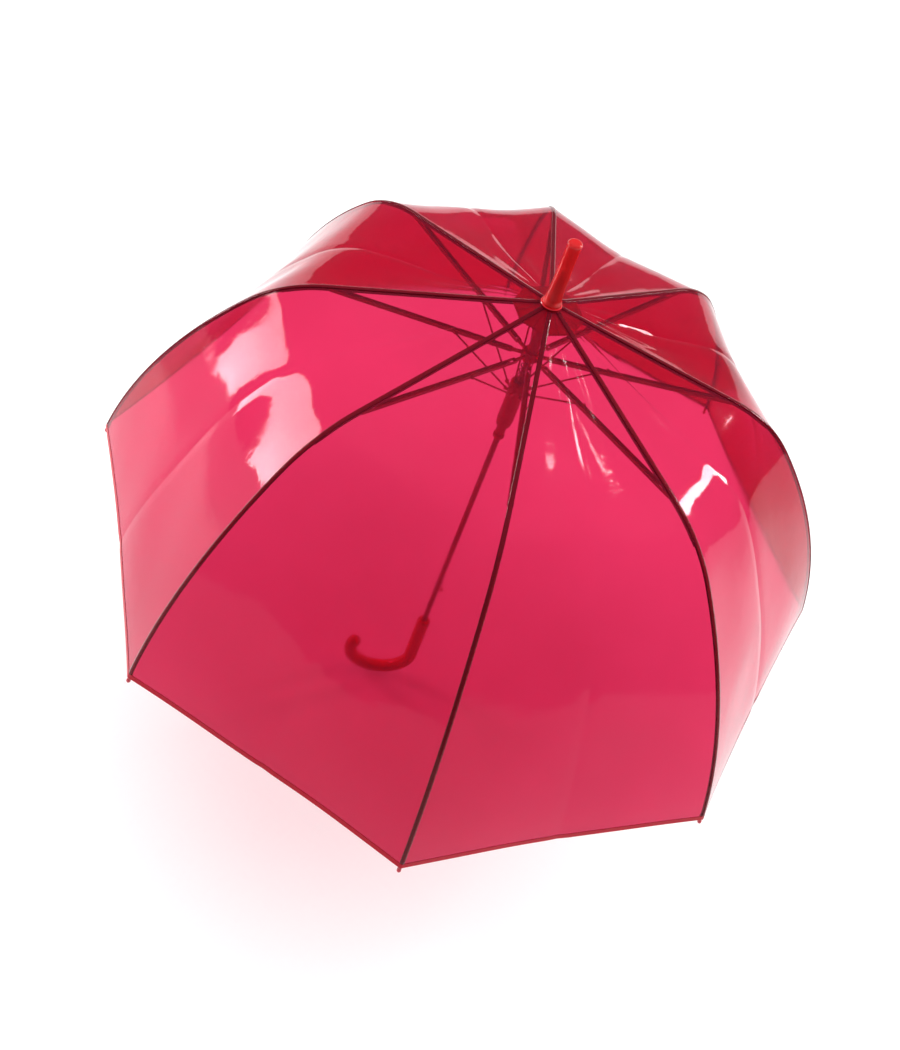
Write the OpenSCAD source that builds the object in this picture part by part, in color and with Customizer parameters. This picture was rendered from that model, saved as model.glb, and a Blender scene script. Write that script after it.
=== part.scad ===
// Clear bubble umbrella with eight ribs and a sprung runner, shown open.
// Origin: middle of the straight grip, on the shaft's axis. +Z runs up the shaft to the ferrule.
// The crook's hook points towards -X. Heights named "_drop" are measured down from the crown.

/* [Shaft and handle] */
// Height of the ribs' ring at the crown above the grip's middle
crown_z = 733.5; // [720:0.5:745]
// Diameter of the steel shaft
shaft_d = 8; // [8:0.5:9]
// Wall of the shaft tube
shaft_wall = 0.6; // [0.5:0.1:1]
// Diameter of the crook handle
handle_d = 21; // [19:0.5:23]
// Handle top below the crown
handle_drop = 674; // [660:2:680]
// Length of the handle's straight part
handle_straight = 112; // [100:2:130]
// Bend radius of the crook at its centreline
crook_r = 50; // [40:1:55]
// Angle that the crook turns through
crook_turn = 200; // [180:5:215]

/* [Ribs] */
// Azimuth of the first rib
rib_phase = 173; // [160:1:190]
// Radius of the ring that the ribs hinge on
ring_r = 9; // [8.5:0.5:10]
// Slope of the straight inner rib below level
rib_slope = 15; // [12:1:18]
// Length of the straight inner rib
rib_straight = 248; // [240:2:256]
// Radius of the shoulder bend
shoulder_r = 184; // [170:2:200]
// Angle that the shoulder turns through
shoulder_turn = 32; // [28:1:36]
// Radius of the long side bend
side_r = 743; // [650:10:900]
// Angle that the side turns through
side_turn = 27; // [22:1:32]
// Width of the rib channel
rib_w = 4; // [3.6:0.1:4.4]
// Height of the rib channel
rib_h = 3.5; // [3:0.1:4]
// Diameter of the springy outer rod
rod_d = 2.6; // [2:0.1:2.6]

/* [Linkage] */
// Distance of the stretcher joint from the rib's hinge
joint_at = 242; // [236:1:244]
// Collar pivots below the crown
collar_drop = 76; // [72:1:80]
// Radius of the collar's pivots
collar_r = 25; // [24:0.5:27]
// Runner pivots below the crown
runner_drop = 134; // [130:1:138]
// Radius of the runner's pivots
runner_r = 15; // [14.5:0.5:16]
// Distance of the brace pivot along the stretcher
brace_at = 68; // [60:1:76]
// Width of the stretcher channel
stretcher_w = 6; // [5.8:0.1:6.4]
// Height of the stretcher channel
stretcher_h = 4.4; // [4:0.2:5]
// Diameter of the brace wire
brace_d = 2.2; // [1.8:0.1:2.4]

/* [Canopy] */
// Thickness of the film solid
film_t = 0.3; // [0.3:0.1:1]
// Height of the film over the ribs' centreline
film_gap = 3.4; // [3.3:0.1:4]
// Length of film along a rib, from the ring to the hem
film_length = 692; // [680:2:696]
// Radius of the rosette under the canopy
rosette_r = 41; // [36:1:44]

/* [Crown and ferrule] */
// Ferrule top above the crown
ferrule_top = 92; // [85:1:98]
// Radius of the ferrule's foot
ferrule_foot_r = 11.5; // [10:0.5:12]
// Radius of the ferrule's straight upper end
ferrule_top_r = 8.25; // [7:0.25:8.5]

/* [Release] */
// Button below the crown
button_drop = 584; // [583:1:588]
// Catch below the crown
catch_drop = 565; // [564:1:567]

/* [Hidden] */
$fn = 48;
RIBS = 8;
SECTOR = 360 / RIBS;
shaft_r = shaft_d / 2;
shaft_top = 56;
shaft_in_handle = 40;
slide_fit = 0.08;
pin_fit = 0.1;
fit = 0.05;
rib_length = rib_straight + arc_len(shoulder_r, shoulder_turn) + arc_len(side_r, side_turn);
flex_turn = shoulder_turn / 2;
flex_s = rib_straight + arc_len(shoulder_r, flex_turn);
film_t2 = film_gap + film_t;
film_split = flex_s;
film_clear = 0.3;
wall = 0.6;
cheek_turn = 3.2 / shoulder_r * 180 / PI;
eye_r = 1.8;
eye_bore_r = 1.06;
wire_r = 0.75;
pin_r = 1.1;
fork_len = 18;
fork_end_len = 6;
stretcher_wall = 0.6;
brace_t = stretcher_w / 2 + 0.3 + brace_d / 2;
brace_eye_r = 1.8;
brace_pin_r = 0.8;
lug_t0 = brace_t + brace_d / 2 + 0.3;
lug_w = 1;
tip_len = 14;
tip_r = 2.6;

// ---- geometry helpers ----

function arc_len(r, turn) = r * turn * PI / 180;

// Slope below level at distance s along a rib's centreline
function slope(s) =
    s <= rib_straight ? rib_slope
    : let (bent = (s - rib_straight) / shoulder_r * 180 / PI)
      bent <= shoulder_turn ? rib_slope + bent
      : rib_slope + shoulder_turn + (s - rib_straight - arc_len(shoulder_r, shoulder_turn)) / side_r * 180 / PI;

// Ends of the straight part and of the shoulder, as [radius, height]
straight_end = [ring_r, 0] + rib_straight * [cos(rib_slope), -sin(rib_slope)];
shoulder_c = straight_end - shoulder_r * [sin(rib_slope), cos(rib_slope)];
shoulder_slope = rib_slope + shoulder_turn;
shoulder_end = shoulder_c + shoulder_r * [sin(shoulder_slope), cos(shoulder_slope)];
side_c = shoulder_end - side_r * [sin(shoulder_slope), cos(shoulder_slope)];

// Point at distance s along a rib, raised by off from its centreline
function rib_point(s, off = 0) =
    let (a = slope(s), up = [sin(a), cos(a)])
    s <= rib_straight ? [ring_r, 0] + s * [cos(a), -sin(a)] + off * up
    : a <= shoulder_slope ? shoulder_c + (shoulder_r + off) * up
    : side_c + (side_r + off) * up;

joint_p = rib_point(joint_at);
collar_p = [collar_r, -collar_drop];
runner_p = [runner_r, -runner_drop];
stretcher_len = norm(joint_p - collar_p);
stretcher_rise = atan2(joint_p[1] - collar_p[1], joint_p[0] - collar_p[0]);
brace_p = collar_p + brace_at * [cos(stretcher_rise), sin(stretcher_rise)];
brace_len = norm(brace_p - runner_p);
brace_rise = atan2(brace_p[1] - runner_p[1], brace_p[0] - runner_p[0]);
flex_p = rib_point(flex_s);

module at_crown() translate([0, 0, crown_z]) children();

// Places a shape drawn in the plane of rib i, with x outward and z up from the crown
module at_rib(i) at_crown() rotate(rib_phase + SECTOR * (i - 1)) children();

// A round bar across the rib's plane at a point [radius, height]
module cross_pin(p, r, t0, t1)
    translate([p[0], t1, p[1]]) rotate([90, 0, 0]) cylinder(r = r, h = t1 - t0);

// A profile bent down along an arc from the origin, where it heads along x
module bend(r, turn)
    translate([0, 0, -r]) rotate([0, -90, 0]) rotate([-90, 0, 0])
        rotate_extrude(angle = turn, $fn = 96) translate([r, 0]) children();

// ---- shaft, handle and ferrule ----

module shaft() color("darkred") at_crown() difference() {
    translate([0, 0, -handle_drop - shaft_in_handle])
        cylinder(r = shaft_r, h = handle_drop + shaft_in_handle + shaft_top);
    translate([0, 0, -handle_drop - shaft_in_handle - 1])
        cylinder(r = shaft_r - shaft_wall, h = handle_drop + shaft_in_handle + shaft_top + 2);
    translate([0, -1.6, -catch_drop - 7]) cube([shaft_d, 3.2, 14]);
    translate([0, 0, -button_drop]) rotate([0, 90, 0]) cylinder(r = 2, h = shaft_d);
}

module handle() color("crimson") at_crown() difference() {
    union() {
        straight = handle_straight - handle_d / 3;
        translate([0, 0, -handle_drop - handle_straight]) cylinder(d = handle_d, h = straight);
        translate([0, 0, -handle_drop - handle_d / 3]) handle_shoulder();
        translate([-crook_r, 0, -handle_drop - handle_straight]) rotate([-90, 0, 0])
            rotate_extrude(angle = crook_turn, $fn = 96)
                translate([crook_r, 0]) circle(d = handle_d);
        translate([-crook_r, 0, -handle_drop - handle_straight]) rotate([0, crook_turn, 0])
            translate([crook_r, 0, 0]) sphere(d = handle_d - 0.6);
    }
    translate([0, 0, -handle_drop - shaft_in_handle - 0.5])
        cylinder(r = shaft_r + fit, h = shaft_in_handle + 1);
}

// The handle's rounded upper end: a shoulder of a third of its diameter
module handle_shoulder() {
    round_r = handle_d / 3;
    flat_r = handle_d / 2 - round_r;
    rotate_extrude() polygon(concat([[0, 0]],
        [for (a = [0 : 7.5 : 90]) [flat_r + round_r * cos(a), round_r * sin(a)]], [[0, round_r]]));
}

module ferrule() color("red", 0.8) at_crown() difference() {
    base = 6.3;
    rotate_extrude() polygon(concat(
        [[0, base], [ferrule_foot_r, base], [ferrule_foot_r, base + 2.5],
         [ferrule_foot_r - 1.6, base + 7], [ferrule_top_r + 0.9, base + 20],
         [ferrule_top_r, ferrule_top - 33]],
        [for (a = [0 : 10 : 90])
            [ferrule_top_r - 3 + 3 * cos(a), ferrule_top - 3 + 3 * sin(a)]],
        [[0, ferrule_top]]));
    translate([0, 0, base - 1]) cylinder(r = shaft_r + fit, h = shaft_top - base + 1.5);
}

module top_washer() color("tomato") at_crown() translate([0, 0, 4.8]) difference() {
    rotate_extrude() polygon([[0, 0], [12, 0], [12.6, 0.5], [12, 1.4], [0, 1.4]]);
    translate([0, 0, -1]) cylinder(r = shaft_r + fit, h = 4);
}

// ---- crown ----

module crown() color("firebrick") at_crown() difference() {
    union() {
        translate([0, 0, -4]) cylinder(r = 11, h = 5.2);
        translate([0, 0, -14]) cylinder(r = 6.6, h = 11);
    }
    translate([0, 0, -15]) cylinder(r = shaft_r + fit, h = 20);
    for (i = [0 : RIBS - 1]) rotate(rib_phase + SECTOR * i)
        translate([6.8, -rib_w / 2 - 0.3, -5]) cube([10, rib_w + 0.6, 10]);
    wire_ring(wire_r + fit);
}

// The wire that the ribs' eyes turn on
module wire_ring(r) rotate_extrude($fn = 64) translate([ring_r, 0]) circle(r = r, $fn = 24);

module crown_wire() color("silver") at_crown() wire_ring(wire_r);

// A cone of film that follows the ribs' slope
module rosette() color("red") at_crown() rotate_extrude($fn = 96) {
    under = 2.1 / cos(rib_slope) + ring_r * tan(rib_slope);
    fall = tan(rib_slope);
    inner = shaft_r + 0.5;
    polygon([[inner, under - inner * fall], [rosette_r, under - rosette_r * fall],
             [rosette_r, under - rosette_r * fall + 0.3], [inner, under - inner * fall + 0.3]]);
}

// ---- collar, spring and runner ----

module collar() color("firebrick") at_crown() translate([0, 0, -collar_drop]) difference() {
    union() {
        translate([0, 0, -6]) cylinder(r = 10, h = 12);
        translate([0, 0, -6]) cylinder(r = 6.5, h = 62);
        for (i = [0 : RIBS - 1]) rotate(rib_phase + SECTOR * i) {
            translate([7, -1.3, -2]) cube([collar_r - 7, 2.6, 4]);
            cross_pin([collar_r, 0], 2, -1.3, 1.3);
        }
    }
    translate([0, 0, -7]) cylinder(r = shaft_r + slide_fit, h = 70);
    for (i = [0 : RIBS - 1]) rotate(rib_phase + SECTOR * i)
        cross_pin([collar_r, 0], pin_r + pin_fit, -2, 2);
}

spring_top = -collar_drop - 6.4;
spring_bottom = -runner_drop - 61.4;
spring_wire = 0.8;
spring_mean_r = 6.3;
spring_turns = 13;

module spring() color("dimgray") at_crown() {
    steps = 12;
    sides = 6;
    rings = spring_turns * steps;
    rise = (spring_top - spring_bottom - 2 * spring_wire) / rings;
    points = [for (k = [0 : rings]) for (j = [0 : sides - 1])
        let (a = 360 * k / steps, b = 360 * j / sides, r = spring_mean_r + spring_wire * cos(b))
        [r * cos(a), r * sin(a), spring_bottom + spring_wire + rise * k + spring_wire * sin(b)]];
    coil = [for (k = [0 : rings - 1]) for (j = [0 : sides - 1])
        let (n = (j + 1) % sides)
        [k * sides + j, (k + 1) * sides + j, (k + 1) * sides + n, k * sides + n]];
    first = [for (j = [0 : sides - 1]) j];
    last = [for (j = [0 : sides - 1]) rings * sides + sides - 1 - j];
    polyhedron(points, concat(coil, [first, last]));
}

module runner() color("firebrick") at_crown() translate([0, 0, -runner_drop]) difference() {
    union() {
        rotate_extrude() polygon([
            [0, 12], [9.4, 12], [11, 9], [11.2, -4], [10.4, -20], [10.6, -56], [9.6, -65],
            [6.3, -66], [6.3, -82], [7.4, -84], [7.4, -89], [6.3, -91], [0, -91]]);
        for (i = [0 : RIBS - 1]) rotate(rib_phase + SECTOR * i) {
            translate([8, lug_t0, -2]) cube([runner_r - 8, lug_w, 4]);
            cross_pin([runner_r, 0], 2, lug_t0, lug_t0 + lug_w);
            cross_pin([runner_r, 0], brace_pin_r, brace_t - brace_d / 2, lug_t0 + 0.5);
        }
    }
    translate([0, 0, -62]) cylinder(r = 7.6, h = 80);
    translate([0, 0, -92]) cylinder(r = shaft_r + slide_fit, h = 100);
    translate([0, -1.9, -87]) cube([12, 3.8, 14]);
}

// ---- release ----

module release_button() color("crimson") at_crown() translate([0, 0, -button_drop]) rotate([0, 90, 0])
    rotate_extrude() polygon([
        [0, 1.25], [1.7, 1.25], [1.7, 6.1], [3, 6.5], [3.5, 7.4], [3.2, 8.6], [1.6, 9.2], [0, 9.3]]);

// A small wedge on a spring strip inside the shaft
module catch() color("tomato") at_crown() translate([0, 0, -catch_drop]) {
    translate([1.2, 1.3, 0]) rotate([90, 0, 0]) linear_extrude(2.6)
        polygon([[0, -5], [4.6, -4], [4.6, -3], [2.6, 5], [0, 5]]);
    translate([0.6, -1.3, catch_drop - button_drop - 12]) cube([0.6, 2.6, 32]);
}

// ---- ribs and rods ----

module channel_profile() difference() {
    square([rib_h, rib_w], center = true);
    translate([-wall, 0]) square([rib_h, rib_w - 2 * wall], center = true);
}

module rib(i) color("maroon") at_rib(i) difference() {
    union() {
        translate([ring_r, 0, 0]) rotate([0, rib_slope, 0]) {
            translate([0.9, 0, 0]) rotate([90, 0, 90])
                linear_extrude(rib_straight - 0.9) rotate(90) channel_profile();
            translate([rib_straight, 0, 0]) bend(shoulder_r, flex_turn - cheek_turn) channel_profile();
        }
        cheeks();
        cross_pin([ring_r, 0], eye_r, -rib_w / 2, rib_w / 2);
    }
    cross_pin([ring_r, 0], eye_bore_r, -rib_w, rib_w);
    cross_pin(joint_p, pin_r + pin_fit, -rib_w, rib_w);
}

// Two plates that carry the rod's eye between them
module cheeks() for (side = [-1, 1])
    translate([flex_p[0], side * (rib_w / 2 - 0.3), flex_p[1]]) rotate([0, rib_slope + flex_turn, 0])
        translate([-1, 0, 0]) cube([10, 0.4, rib_h - 0.7], center = true);

module rod(i) color("maroon") at_rib(i) {
    end_slope = slope(rib_length - tip_len);
    end_p = rib_point(rib_length - tip_len);
    difference() {
        union() {
            translate([shoulder_end[0], 0, shoulder_end[1]]) rotate([0, shoulder_slope, 0]) {
                bend(side_r, side_turn) circle(d = rod_d, $fn = 24);
                mirror([1, 0, 0]) bend(shoulder_r, shoulder_turn - flex_turn) circle(d = rod_d, $fn = 24);
            }
            cross_pin(flex_p, 1.6, -rod_d / 2, rod_d / 2);
        }
        translate([end_p[0], 0, end_p[1]]) rotate([0, 90 + end_slope, 0])
            translate([0, 0, -fit]) cylinder(r = tip_r, h = 2 * tip_len);
    }
    color("crimson") tip(end_p, end_slope);
}

// The moulded cap on a rod's end
module tip(p, a) translate([p[0], 0, p[1]]) rotate([0, 90 + a, 0]) rotate_extrude() polygon([
    [0, 0], [1.9, 0], [2.2, 2], [2, tip_len - 4], [tip_r, tip_len - 2.6],
    [tip_r, tip_len + 0.6], [1.8, tip_len + 2], [0, tip_len + 2.6]]);

// ---- stretchers and braces ----

// Drawn from the collar's pivot towards the rib's joint, along x
module stretcher(i) color("brown") at_rib(i) {
    translate([collar_r, 0, -collar_drop]) rotate([0, -stretcher_rise, 0]) {
        difference() {
            stretcher_channel();
            cross_pin([0, 0], pin_r - 0.02, -stretcher_w, stretcher_w);
        }
        cross_pin([0, 0], pin_r, -stretcher_w / 2, stretcher_w / 2);
        cross_pin([stretcher_len, 0], pin_r, -stretcher_w / 2 - 0.4, stretcher_w / 2 + 0.4);
        for (side = [-1, 1])
            cross_pin([stretcher_len, 0], 1.9,
                      side * (stretcher_w / 2 + 0.2) - 0.25, side * (stretcher_w / 2 + 0.2) + 0.25);
        cross_pin([brace_at, 0], brace_pin_r, stretcher_w / 2 - 0.4, brace_t + brace_d / 2 + 0.3);
    }
}

module stretcher_channel() {
    half = stretcher_h / 2;
    inside = stretcher_w - 2 * stretcher_wall;
    difference() {
        union() {
            translate([0, -stretcher_w / 2, -half]) cube([stretcher_len, stretcher_w, stretcher_h]);
            cross_pin([0, 0], half, -stretcher_w / 2, stretcher_w / 2);
            cross_pin([stretcher_len, 0], half, -stretcher_w / 2, stretcher_w / 2);
        }
        translate([-half - 1, -inside / 2, -half + stretcher_wall])
            cube([stretcher_len + stretcher_h + 2, inside, stretcher_h]);
        translate([-half - 1, -inside / 2, -half - 1])
            cube([half + 1 + fork_end_len, inside, stretcher_h + 2]);
        translate([stretcher_len - fork_len, -inside / 2, -half - 1])
            cube([half + 1 + fork_len, inside, stretcher_h + 2]);
    }
}

module brace(i) color("brown") at_rib(i)
    translate([runner_r, 0, -runner_drop]) rotate([0, -brace_rise, 0]) difference() {
        t0 = brace_t - brace_d / 2;
        t1 = brace_t + brace_d / 2;
        union() {
            translate([0, brace_t, 0]) rotate([0, 90, 0]) cylinder(d = brace_d, h = brace_len);
            cross_pin([0, 0], brace_eye_r, t0, t1);
            cross_pin([brace_len, 0], brace_eye_r, t0, t1);
        }
        cross_pin([0, 0], brace_pin_r + pin_fit, t0 - 1, t1 + 1);
        cross_pin([brace_len, 0], brace_pin_r + pin_fit, t0 - 1, t1 + 1);
    }

// ---- canopy ----

// A petal of film centred on a rib and reaching to the middle of each gore.
// Each row has the inner then the outer surface: left edge, ridge, right edge.
function petal_row(s) = [for (off = [film_gap, film_t2]) for (side = [-1, 0, 1])
    let (p = rib_point(s, off), half = SECTOR / 2,
         x = side == 0 ? p[0] : p[0] * pow(cos(half), 2),
         t = side * (p[0] * cos(half) * sin(half) - film_clear))
    [x, t, p[1]]];

module petal(stations) {
    rows = [for (s = stations) petal_row(s)];
    n = len(rows);
    quads = [for (k = [0 : n - 2]) let (a = 6 * k, b = 6 * (k + 1)) each [
        [a, a + 1, b + 1, b], [a + 1, a + 2, b + 2, b + 1],
        [a + 4, a + 3, b + 3, b + 4], [a + 5, a + 4, b + 4, b + 5],
        [a + 3, a, b, b + 3], [a + 2, a + 5, b + 5, b + 2]]];
    z = 6 * (n - 1);
    ends = [[0, 3, 4, 1], [1, 4, 5, 2], [z, z + 1, z + 4, z + 3], [z + 1, z + 2, z + 5, z + 4]];
    polyhedron([for (r = rows) each r], concat(quads, ends));
}

top_stations = concat([1, rib_straight / 2], [for (k = [0 : 3])
    rib_straight + (film_split - film_clear - rib_straight) * k / 3]);
side_stations = [for (k = [0 : 11]) film_split + film_clear + (film_length - film_split - film_clear) * k / 11];

module canopy_top(i) color("crimson", 0.5) at_rib(i) petal(top_stations);

module canopy_side(i) color("crimson", 0.5) at_rib(i) petal(side_stations);

// ---- assembly ----

shaft();
handle();
ferrule();
top_washer();
rosette();
crown();
crown_wire();
collar();
spring();
runner();
release_button();
catch();
for (i = [1 : RIBS]) rib(i);
for (i = [1 : RIBS]) rod(i);
for (i = [1 : RIBS]) stretcher(i);
for (i = [1 : RIBS]) brace(i);
for (i = [1 : RIBS]) canopy_top(i);
for (i = [1 : RIBS]) canopy_side(i);
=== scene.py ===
"""The looks of the clear bubble umbrella, built round its fixed CAD frame. Metres, +Z up the shaft."""

import math

import bpy
from mathutils import Matrix, Vector


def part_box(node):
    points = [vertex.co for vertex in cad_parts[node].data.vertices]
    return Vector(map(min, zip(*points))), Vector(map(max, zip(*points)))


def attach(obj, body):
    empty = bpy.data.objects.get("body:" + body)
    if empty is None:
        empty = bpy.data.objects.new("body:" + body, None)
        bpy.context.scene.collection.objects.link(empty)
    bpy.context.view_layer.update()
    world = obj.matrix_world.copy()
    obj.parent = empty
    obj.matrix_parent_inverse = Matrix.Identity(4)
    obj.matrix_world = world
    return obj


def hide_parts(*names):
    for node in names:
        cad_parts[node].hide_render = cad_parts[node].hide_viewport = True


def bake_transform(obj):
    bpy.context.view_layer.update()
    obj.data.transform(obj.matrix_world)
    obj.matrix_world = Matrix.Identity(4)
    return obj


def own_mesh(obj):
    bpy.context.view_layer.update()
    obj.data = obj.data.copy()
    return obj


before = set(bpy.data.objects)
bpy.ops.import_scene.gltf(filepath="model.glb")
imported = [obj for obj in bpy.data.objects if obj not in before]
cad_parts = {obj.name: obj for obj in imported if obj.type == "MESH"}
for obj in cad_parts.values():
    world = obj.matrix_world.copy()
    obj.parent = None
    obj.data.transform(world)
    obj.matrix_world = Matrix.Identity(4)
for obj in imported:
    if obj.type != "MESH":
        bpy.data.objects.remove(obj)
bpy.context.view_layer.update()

# ---- the CAD model's dimensions ----

RIBS = 8
CROWN_Z = 0.7335
RIB_PHASE = math.radians(173)
HALF = math.pi / RIBS
RING_R = 0.009
RIB_SLOPE = math.radians(15)
RIB_STRAIGHT = 0.248
SHOULDER_R = 0.184
SHOULDER_TURN = math.radians(32)
SIDE_R = 0.743
FLEX_AT = RIB_STRAIGHT + SHOULDER_R * SHOULDER_TURN / 2
FILM_GAP = 0.0036
FILM_END = 0.692
ROSETTE_START = -0.0035
ROSETTE_END = 0.0335
ROSETTE_GAP = 0.0024
CAP_TOP_Z = 0.3285

# ---- the film's shape ----

FILM_T = 0.0002
HEM_T = 0.0006
HEM_WIDTH = 0.0065
HEM_OVERHANG = 0.0006
SEAM_T = 0.0003
SEAM_HALF = 0.0028
OVER_FILM = 0.0003
BLEND_HALF = 0.045
GORE_SAG = 0.007
CREASE = 0.0012
PLEAT = 0.0006
DRIFT = 0.0016
PINK = 0.0012
FOLD_LAYER = 0.0009
FOLD_CLIMB = 0.007
FOLD_EASE = 0.03


def rib_point(s, off=0.0):
    """(radius, height below the crown, slope) at distance s along a rib, raised by off."""
    a = RIB_SLOPE
    x = RING_R + min(s, RIB_STRAIGHT) * math.cos(a)
    z = -min(s, RIB_STRAIGHT) * math.sin(a)
    for radius, length in ((SHOULDER_R, SHOULDER_R * SHOULDER_TURN), (SIDE_R, 1.0)):
        start = RIB_STRAIGHT if radius == SHOULDER_R else RIB_STRAIGHT + SHOULDER_R * SHOULDER_TURN
        run = min(max(s - start, 0.0), length)
        b = a + run / radius
        x += radius * (math.sin(b) - math.sin(a))
        z += radius * (math.cos(b) - math.cos(a))
        a = b
    return x + off * math.sin(a), z + off * math.cos(a), a


def azimuth(i):
    return RIB_PHASE + 2 * HALF * (i - 1)


def steps(first, last, count):
    return [first + (last - first) * k / (count - 1) for k in range(count)]


def smooth(x):
    x = min(max(x, 0.0), 1.0)
    return x * x * (3 - 2 * x)


# ---- materials ----


def material(name, color, roughness=0.3, **sockets):
    """A Principled material; the sockets' names have underscores for spaces."""
    m = bpy.data.materials.new(name)
    m.use_nodes = True
    shader = m.node_tree.nodes["Principled BSDF"]
    shader.inputs["Base Color"].default_value = (*color, 1)
    shader.inputs["Roughness"].default_value = roughness
    for socket, value in sockets.items():
        shader.inputs[socket.replace("_", " ")].default_value = value
    return m


def noise(m, scale, detail=3.0):
    """A noise texture's Fac output in object space."""
    tree = m.node_tree
    where = tree.nodes.new("ShaderNodeTexCoord")
    texture = tree.nodes.new("ShaderNodeTexNoise")
    texture.inputs["Scale"].default_value = scale
    texture.inputs["Detail"].default_value = detail
    tree.links.new(where.outputs["Object"], texture.inputs["Vector"])
    return texture.outputs["Fac"]


def vary_color(m, fac, low, high):
    """The base colour runs from low to high with fac."""
    tree = m.node_tree
    ramp = tree.nodes.new("ShaderNodeValToRGB")
    ramp.color_ramp.elements[0].position = 0.3
    ramp.color_ramp.elements[1].position = 0.7
    ramp.color_ramp.elements[0].color = (*low, 1)
    ramp.color_ramp.elements[1].color = (*high, 1)
    tree.links.new(fac, ramp.inputs["Fac"])
    tree.links.new(ramp.outputs["Color"], tree.nodes["Principled BSDF"].inputs["Base Color"])


def vary_roughness(m, fac, low, high):
    tree = m.node_tree
    spread = tree.nodes.new("ShaderNodeMapRange")
    spread.inputs["From Min"].default_value = 0.3
    spread.inputs["From Max"].default_value = 0.7
    spread.inputs["To Min"].default_value = low
    spread.inputs["To Max"].default_value = high
    tree.links.new(fac, spread.inputs["Value"])
    tree.links.new(spread.outputs["Result"], tree.nodes["Principled BSDF"].inputs["Roughness"])


def bump(m, fac, strength, depth):
    tree = m.node_tree
    node = tree.nodes.new("ShaderNodeBump")
    node.inputs["Strength"].default_value = strength
    node.inputs["Distance"].default_value = depth
    tree.links.new(fac, node.inputs["Height"])
    tree.links.new(node.outputs["Normal"], tree.nodes["Principled BSDF"].inputs["Normal"])


def film_material(name, low, high, clear):
    """Tinted see-through plastic film: mostly clear, a little milky, with soft creases."""
    m = material(name, high, 0.06, IOR=1.2, Transmission_Weight=clear)
    vary_color(m, noise(m, 5.0, 4.0), low, high)
    vary_roughness(m, noise(m, 14.0, 3.0), 0.03, 0.10)
    bump(m, noise(m, 26.0, 4.0), 0.35, 0.0012)
    return m


def plastic_material(name, color, rough=0.25, **sockets):
    """Moulded plastic with a faint uneven gloss."""
    m = material(name, color, rough, **sockets)
    vary_color(m, noise(m, 40.0), tuple(0.9 * c for c in color), color)
    vary_roughness(m, noise(m, 180.0), rough * 0.8, rough * 1.25)
    bump(m, noise(m, 700.0), 0.12, 0.0002)
    return m


def paint_material(name, color, rough=0.3):
    """Glossy paint over metal, with thinner, darker patches along it."""
    m = material(name, color, rough, Coat_Weight=0.4, Coat_Roughness=0.12)
    vary_color(m, noise(m, 60.0), tuple(0.7 * c for c in color), color)
    vary_roughness(m, noise(m, 300.0), rough * 0.8, rough * 1.3)
    bump(m, noise(m, 900.0), 0.1, 0.0001)
    return m


def rod_material():
    """Dark paint on the rod and bright moulded plastic on its cap, split at the cap's height."""
    m = material("rod_paint", (0.10, 0.006, 0.012), 0.35, Coat_Weight=0.3, Coat_Roughness=0.15)
    tree = m.node_tree
    where = tree.nodes.new("ShaderNodeTexCoord")
    split = tree.nodes.new("ShaderNodeSeparateXYZ")
    below = tree.nodes.new("ShaderNodeMath")
    below.operation = "LESS_THAN"
    below.inputs[1].default_value = CAP_TOP_Z
    mix = tree.nodes.new("ShaderNodeMix")
    mix.data_type = "RGBA"
    mix.inputs["A"].default_value = (0.10, 0.006, 0.012, 1)
    mix.inputs["B"].default_value = (0.62, 0.012, 0.035, 1)
    tree.links.new(where.outputs["Object"], split.inputs["Vector"])
    tree.links.new(split.outputs["Z"], below.inputs[0])
    tree.links.new(below.outputs["Value"], mix.inputs["Factor"])
    tree.links.new(mix.outputs["Result"], tree.nodes["Principled BSDF"].inputs["Base Color"])
    bump(m, noise(m, 700.0), 0.12, 0.0002)
    return m


def steel_material():
    m = material("spring_steel", (0.32, 0.20, 0.20), 0.3, Metallic=1.0)
    vary_roughness(m, noise(m, 400.0), 0.22, 0.42)
    bump(m, noise(m, 1200.0), 0.1, 0.0001)
    return m


def floor_material():
    """White paper, partly self-lit so that it stays white under the soft light."""
    m = material("floor_paper", (0.55, 0.55, 0.55), 0.9, Emission_Color=(1, 1, 1, 1), Emission_Strength=0.5)
    bump(m, noise(m, 30.0), 0.05, 0.001)
    return m


# ---- meshes ----


def mesh_object(name, points, faces, look):
    mesh = bpy.data.meshes.new(name)
    mesh.from_pydata([tuple(p) for p in points], [], faces)
    mesh.update()
    for polygon in mesh.polygons:
        polygon.use_smooth = True
    mesh.materials.append(look)
    made = bpy.data.objects.new(name, mesh)
    bpy.context.scene.collection.objects.link(made)
    return made


def grid_faces(rows, columns):
    corners = [(r * columns + c, (r + 1) * columns + c) for r in range(rows - 1) for c in range(columns - 1)]
    return [(near, near + 1, far + 1, far) for near, far in corners]


def gore_offset(gore, v, s):
    """How far the film stands in from the flat chord, at v across a gore and s along it."""
    span = smooth((s - 0.02) / 0.12) * (1 - 0.35 * smooth((s - 0.55) / 0.14))
    sag = GORE_SAG * span * 4 * v * (1 - v)
    crease = CREASE * span * (1 - min(abs(v - 0.5) / 0.035, 1.0))
    near_crown = smooth((0.30 - s) / 0.25) * smooth((s - 0.02) / 0.06)
    pleats = PLEAT * near_crown * math.sin(2 * math.pi * (v * 5 + 0.13 * gore)) * math.sin(math.pi * v)
    waves = math.sin(17 * s + 2.1 * gore + 5 * v) + 0.6 * math.sin(31 * s - 3.7 * gore - 8 * v)
    return sag + crease + pleats + DRIFT * span * math.sin(math.pi * v) ** 2 * waves


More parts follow.
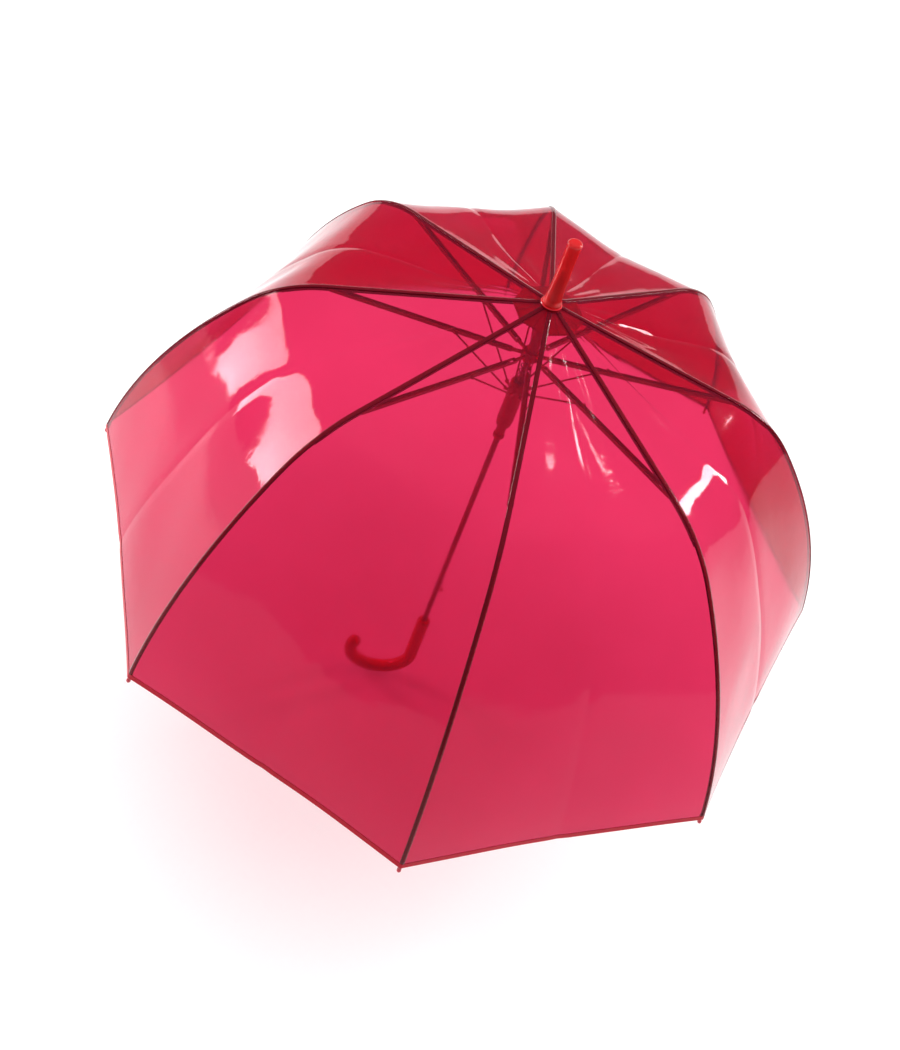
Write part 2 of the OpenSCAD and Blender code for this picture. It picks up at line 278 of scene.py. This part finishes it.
def film_piece(name, i, rows, columns, lift, look, thickness, loose=True):
    """A strip of film centred on rib i. rows are distances along the rib, and columns run from -1 to 1
    between the middles of the gores. A row may be a function of the column. A loose strip sags."""
    turn = Matrix.Rotation(azimuth(i), 3, "Z")
    middle = columns.index(0)
    points, ridge = [], []
    for row, s_of in enumerate(rows):
        for w in columns:
            s = s_of(w) if callable(s_of) else s_of
            x, z, a = rib_point(s, lift)
            side = 1 if w >= 0 else -1
            p = Vector((x * (1 - abs(w) * math.sin(HALF) ** 2), w * x * math.cos(HALF) * math.sin(HALF), z))
            if loose:
                v = abs(w) / 2 if side > 0 else 1 - abs(w) / 2
                gore = i if side > 0 else (i - 2) % RIBS + 1
                outward = (math.sin(a) * math.cos(HALF), side * math.sin(a) * math.sin(HALF), math.cos(a))
                p -= Vector(outward) * gore_offset(gore, v, s)
            points.append(turn @ p + Vector((0, 0, CROWN_Z)))
            ridge.append(row * len(columns) + middle)
    piece = mesh_object(name, points, grid_faces(len(rows), len(columns)), look)
    index = piece.data.attributes.new("ridge", "INT", "POINT")
    index.data.foreach_set("value", ridge)
    blend_at_flex(piece, i)
    fold = piece.modifiers.new("fold", "NODES")
    fold.node_group = fold_nodes(i)
    thick = piece.modifiers.new("thickness", "SOLIDIFY")
    thick.thickness = thickness
    thick.offset = 0
    thick.use_rim = not loose
    return piece


def on_rib(i, s):
    x, z, _ = rib_point(s)
    return (x * math.cos(azimuth(i)), x * math.sin(azimuth(i)), CROWN_Z + z)


def blend_at_flex(piece, i):
    """The film lies on rib i above the bend of its shoulder and on rod i below it. Here the piece's
    transform is only baked into its mesh; the points just above and below the bend are worked out but not
    used.
    """
    above = on_rib(i, FLEX_AT - BLEND_HALF)
    below = on_rib(i, FLEX_AT + BLEND_HALF)
    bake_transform(piece)


# ---- the fold: what film no longer fits between the ribs wraps round them, and at rest all of it fits ----


class Nodes:
    """A short way to write a geometry node tree's arithmetic."""

    def __init__(self, tree):
        self.tree = tree

    def add(self, kind, **inputs):
        node = self.tree.nodes.new(kind)
        for key, value in inputs.items():
            self.put(node.inputs[key.replace("_", " ")], value)
        return node

    def put(self, socket, value):
        if isinstance(value, bpy.types.NodeSocket):
            self.tree.links.new(value, socket)
        else:
            socket.default_value = value

    def math(self, operation, a, b=0.0):
        node = self.tree.nodes.new("ShaderNodeMath")
        node.operation = operation
        self.put(node.inputs[0], a)
        self.put(node.inputs[1], b)
        return node.outputs[0]

    def length(self, a, b):
        squares = self.math("ADD", self.math("POWER", a, 2.0), self.math("POWER", b, 2.0))
        return self.math("POWER", squares, 0.5)

    def turned(self, vector, angle):
        node = self.tree.nodes.new("ShaderNodeVectorRotate")
        node.rotation_type = "Z_AXIS"
        self.put(node.inputs["Vector"], vector)
        self.put(node.inputs["Angle"], angle)
        split = self.tree.nodes.new("ShaderNodeSeparateXYZ")
        self.tree.links.new(node.outputs["Vector"], split.inputs["Vector"])
        return split.outputs


def fold_nodes(i):
    """Film that reaches past rib i's eighth of the circle slides on round the shaft, always the same way."""
    name = f"fold_{i}"
    if name in bpy.data.node_groups:
        return bpy.data.node_groups[name]
    tree = bpy.data.node_groups.new(name, "GeometryNodeTree")
    tree.interface.new_socket("Geometry", in_out="INPUT", socket_type="NodeSocketGeometry")
    tree.interface.new_socket("Geometry", in_out="OUTPUT", socket_type="NodeSocketGeometry")
    n = Nodes(tree)
    source = n.add("NodeGroupInput")
    position = n.add("GeometryNodeInputPosition").outputs["Position"]
    ridge_index = n.add("GeometryNodeInputNamedAttribute")
    ridge_index.data_type = "INT"
    ridge_index.inputs["Name"].default_value = "ridge"
    ridge = n.add("GeometryNodeSampleIndex")
    ridge.data_type = "FLOAT_VECTOR"
    n.put(ridge.inputs["Geometry"], source.outputs["Geometry"])
    n.put(ridge.inputs["Value"], position)
    n.put(ridge.inputs["Index"], ridge_index.outputs["Attribute"])
    here = n.turned(position, -azimuth(i))
    top = n.turned(ridge.outputs["Value"], -azimuth(i))
    tangent = math.tan(HALF)
    side = n.math("SIGN", here["Y"])
    across = n.math("ABSOLUTE", here["Y"])
    over = n.math("SUBTRACT", across, n.math("MULTIPLY", here["X"], tangent))
    room = n.math("MULTIPLY", top["X"], tangent)
    fits = n.math("DIVIDE", room, n.math("ADD", room, n.math("MAXIMUM", over, 0.0)))
    out = n.math("SUBTRACT", here["X"], top["X"])
    x = n.math("ADD", top["X"], n.math("MULTIPLY", out, fits))
    y = n.math("MULTIPLY", across, fits)
    z = n.math("ADD", top["Z"], n.math("MULTIPLY", n.math("SUBTRACT", here["Z"], top["Z"]), fits))
    excess = n.math("MULTIPLY", n.length(out, across), n.math("SUBTRACT", 1.0, fits))
    start_r = n.length(x, y)
    climb = n.math("MULTIPLY", n.math("SMOOTH_MIN", n.math("DIVIDE", excess, FOLD_EASE), 1.0), FOLD_CLIMB)
    angle = n.math("DIVIDE", excess, n.math("ADD", start_r, FOLD_CLIMB))
    layers = n.math("MULTIPLY", angle, 2 * RIBS * FOLD_LAYER / (2 * math.pi))
    apart = n.math("MINIMUM", n.math("DIVIDE", excess, 0.01), 1.0)
    under = n.math("MULTIPLY", n.math("MULTIPLY", side, FOLD_LAYER / 2), apart)
    wrapped_r = n.math("ADD", n.math("ADD", start_r, climb), n.math("SUBTRACT", layers, under))
    base = n.math("MULTIPLY", n.math("ARCTAN2", y, x), side)
    around = n.math("ADD", n.math("ADD", base, angle), azimuth(i))
    moved = n.add("ShaderNodeCombineXYZ", X=n.math("MULTIPLY", wrapped_r, n.math("COSINE", around)),
                  Y=n.math("MULTIPLY", wrapped_r, n.math("SINE", around)), Z=z)
    place = n.add("GeometryNodeSetPosition")
    n.put(place.inputs["Geometry"], source.outputs["Geometry"])
    n.put(place.inputs["Selection"], n.math("GREATER_THAN", over, 0.0002))
    n.put(place.inputs["Position"], moved.outputs["Vector"])
    sink = n.add("NodeGroupOutput")
    n.put(sink.inputs["Geometry"], place.outputs["Geometry"])
    return tree


# ---- canopy ----


def strip_width(s):
    """A strip's flat width from mid-gore to mid-gore, at distance s along its rib."""
    return 2 * rib_point(s)[0] * math.sin(HALF)


def flat_area(first, last, slices=200):
    """The area that a strip is cut to, worked out from its flat pattern and not from its mesh."""
    step = (last - first) / slices
    return sum(strip_width(first + (k + 0.5) * step) * step for k in range(slices))


def canopy(look, hem_look, seam_look):
    columns = sorted({-1.0, 1.0, -0.94, 0.94, -0.02, 0.02, 0, *[k / 12 for k in range(-11, 12)]})
    rows = steps(0.001, FILM_END, 90)
    hem_rows = steps(FILM_END - HEM_WIDTH, FILM_END + HEM_OVERHANG, 4)
    seam_rows = steps(0.004, FILM_END, 70)
    for i in range(1, RIBS + 1):
        film = film_piece(f"film_{i}", i, rows, columns, FILM_GAP, look, FILM_T)
        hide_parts(f"canopy_top_{i}", f"canopy_side_{i}")
        hem = film_piece(f"hem_{i}", i, hem_rows, columns, FILM_GAP + OVER_FILM, hem_look, HEM_T)
        seam = seam_strip(i, seam_rows, seam_look)
        strip_width(FILM_END)
        flat_area(rows[0], FILM_END)


def seam_strip(i, rows, look):
    """The welded seam over a rib, equally wide all along."""
    across = 5
    turn = Matrix.Rotation(azimuth(i), 3, "Z")
    points = []
    for s in rows:
        x, z, _ = rib_point(s, FILM_GAP + OVER_FILM)
        for t in steps(-SEAM_HALF, SEAM_HALF, across):
            points.append(turn @ Vector((x - abs(t) * math.tan(HALF), t, z)) + Vector((0, 0, CROWN_Z)))
    seam = mesh_object(f"seam_{i}", points, grid_faces(len(rows), across), look)
    blend_at_flex(seam, i)
    thick = seam.modifiers.new("thickness", "SOLIDIFY")
    thick.thickness = SEAM_T
    thick.offset = 0
    return seam


def rosette(look):
    """Eight sectors of the film disc at the crown, with a pinked edge."""
    teeth = 9
    columns = [k / teeth for k in range(-teeth, teeth + 1)]

    def pinked(w):
        return ROSETTE_END + (PINK if round(w * teeth) % 2 else 0)

    rows = [ROSETTE_START, *steps(0.002, 0.030, 8), pinked]
    for i in range(1, RIBS + 1):
        sector = film_piece(f"rosette_{i}", i, rows, columns, ROSETTE_GAP, look, FILM_T, loose=False)
        if i == 1:
            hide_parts("rosette")
        strip_width(ROSETTE_END)
        flat_area(rows[0], ROSETTE_END)


# ---- spring ----


def spring(look):
    """The coil between the runner and the collar."""
    low, high = (v[2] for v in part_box("spring"))
    turns, radius, wire = 13, 0.0063, 0.0008
    count, sides = turns * 28, 10
    points, faces = [], []
    for k in range(count + 1):
        a = 2 * math.pi * turns * k / count
        climb = low + wire + (high - low - 2 * wire) * k / count
        middle = Vector((radius * math.cos(a), radius * math.sin(a), climb))
        out = Vector((math.cos(a), math.sin(a), 0))
        for j in range(sides):
            b = 2 * math.pi * j / sides
            points.append(middle + wire * (math.cos(b) * out + math.sin(b) * Vector((0, 0, 1))))
    for k in range(count):
        for j in range(sides):
            m = (j + 1) % sides
            faces.append((k * sides + j, k * sides + m, (k + 1) * sides + m, (k + 1) * sides + j))
    faces.append(tuple(range(sides - 1, -1, -1)))
    faces.append(tuple(count * sides + j for j in range(sides)))
    coil = mesh_object("spring_coil", points, faces, look)
    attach(coil, "runner")
    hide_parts("spring")
    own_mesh(coil)


# ---- CAD nodes that stay ----


def repaint(node, look):
    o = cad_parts[node]
    if not o.material_slots:
        o.data.materials.append(look)
    for s in o.material_slots:
        s.link = "OBJECT"
        s.material = look


def finish_frame():
    frame_paint = paint_material("frame_paint", (0.18, 0.009, 0.018))
    link_paint = paint_material("link_paint", (0.52, 0.016, 0.04))
    shaft_paint = paint_material("shaft_paint", (0.40, 0.014, 0.035))
    red = plastic_material("red_plastic", (0.78, 0.02, 0.035), 0.22)
    dark = plastic_material("dark_red_plastic", (0.58, 0.014, 0.035), 0.3)
    clear_red = plastic_material("clear_red_plastic", (0.95, 0.03, 0.035), 0.12, IOR=1.45,
                                 Transmission_Weight=0.5)
    steel = steel_material()
    rods = rod_material()
    looks = {
        "shaft": shaft_paint, "handle": red, "ferrule": clear_red, "top_washer": red, "crown": dark,
        "crown_wire": steel, "collar": dark, "runner": dark, "release_button": red, "catch": steel,
    }
    for i in range(1, RIBS + 1):
        looks[f"rib_{i}"] = frame_paint
        looks[f"rod_{i}"] = rods
        looks[f"stretcher_{i}"] = link_paint
        looks[f"brace_{i}"] = link_paint
    for node, look in looks.items():
        repaint(node, look)
    spring(steel)


# ---- floor, light and camera ----


def floor(z):
    lines = steps(-9.0, 9.0, 25)
    points = [(x, y, z) for y in lines for x in lines]
    mesh_object("floor", points, grid_faces(len(lines), len(lines)), floor_material())


def softbox(name, place, target, size, power):
    data = bpy.data.lights.new(name, "AREA")
    data.shape = "RECTANGLE"
    data.size, data.size_y = size
    data.energy = power
    box = bpy.data.objects.new(name, data)
    bpy.context.scene.collection.objects.link(box)
    box.location = place
    box.rotation_euler = (Vector(target) - Vector(place)).to_track_quat("-Z", "Y").to_euler()


def soft_sun():
    """A wide, even light from overhead that the film does not mirror."""
    data = bpy.data.lights.new("soft_sun", "SUN")
    data.energy = 3.4
    data.angle = math.radians(75)
    sun = bpy.data.objects.new("overhead", data)
    sun.rotation_euler = (math.radians(-12), math.radians(10), 0)
    sun.visible_glossy = False
    bpy.context.scene.collection.objects.link(sun)


def lights():
    world = bpy.data.worlds.new("studio")
    world.use_nodes = True
    world.node_tree.nodes["Background"].inputs["Color"].default_value = (1, 1, 1, 1)
    world.node_tree.nodes["Background"].inputs["Strength"].default_value = 0.16
    bpy.context.scene.world = world
    softbox("left_box", (-2.0, 1.0, 0.95), (-0.3, 0.0, 0.6), (0.5, 1.3), 40)
    softbox("right_box", (2.15, 1.05, 1.6), (0.3, -0.1, 0.6), (0.2, 1.3), 34)
    softbox("small_box", (1.14, 0.35, 3.3), (0.05, -0.3, 0.6), (0.07, 0.16), 2.0)
    soft_sun()
    bpy.context.scene.view_settings.view_transform = "Standard"


CAMERA_AT = (-0.275, -0.960, CROWN_Z + 0.8125)
CAMERA_AIM = (0.1629, 0.6054, -0.7791)
CAMERA_ROLL = math.radians(21.2)
CAMERA_LENS = 38.57


def camera():
    data = bpy.data.cameras.new("camera")
    data.sensor_fit = "VERTICAL"
    data.sensor_height = 36
    data.lens = CAMERA_LENS
    data.clip_end = 60
    cam = bpy.data.objects.new("camera", data)
    bpy.context.scene.collection.objects.link(cam)
    aim = Vector(CAMERA_AIM).to_track_quat("-Z", "Y").to_matrix()
    cam.matrix_world = Matrix.Translation(CAMERA_AT) @ (aim @ Matrix.Rotation(CAMERA_ROLL, 3, "Z")).to_4x4()
    bpy.context.scene.camera = cam


film_look = film_material("film", (0.58, 0.024, 0.085), (0.64, 0.028, 0.10), 0.9)
hem_look = film_material("hem_film", (0.60, 0.008, 0.025), (0.64, 0.01, 0.035), 0.15)
seam_look = film_material("seam_film", (0.24, 0.008, 0.02), (0.30, 0.01, 0.03), 0.6)
camera()
finish_frame()
canopy(film_look, hem_look, seam_look)
rosette(film_material("rosette_film", (0.72, 0.008, 0.015), (0.78, 0.01, 0.02), 0.2))
floor(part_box("handle")[0][2] - 0.001)
lights()
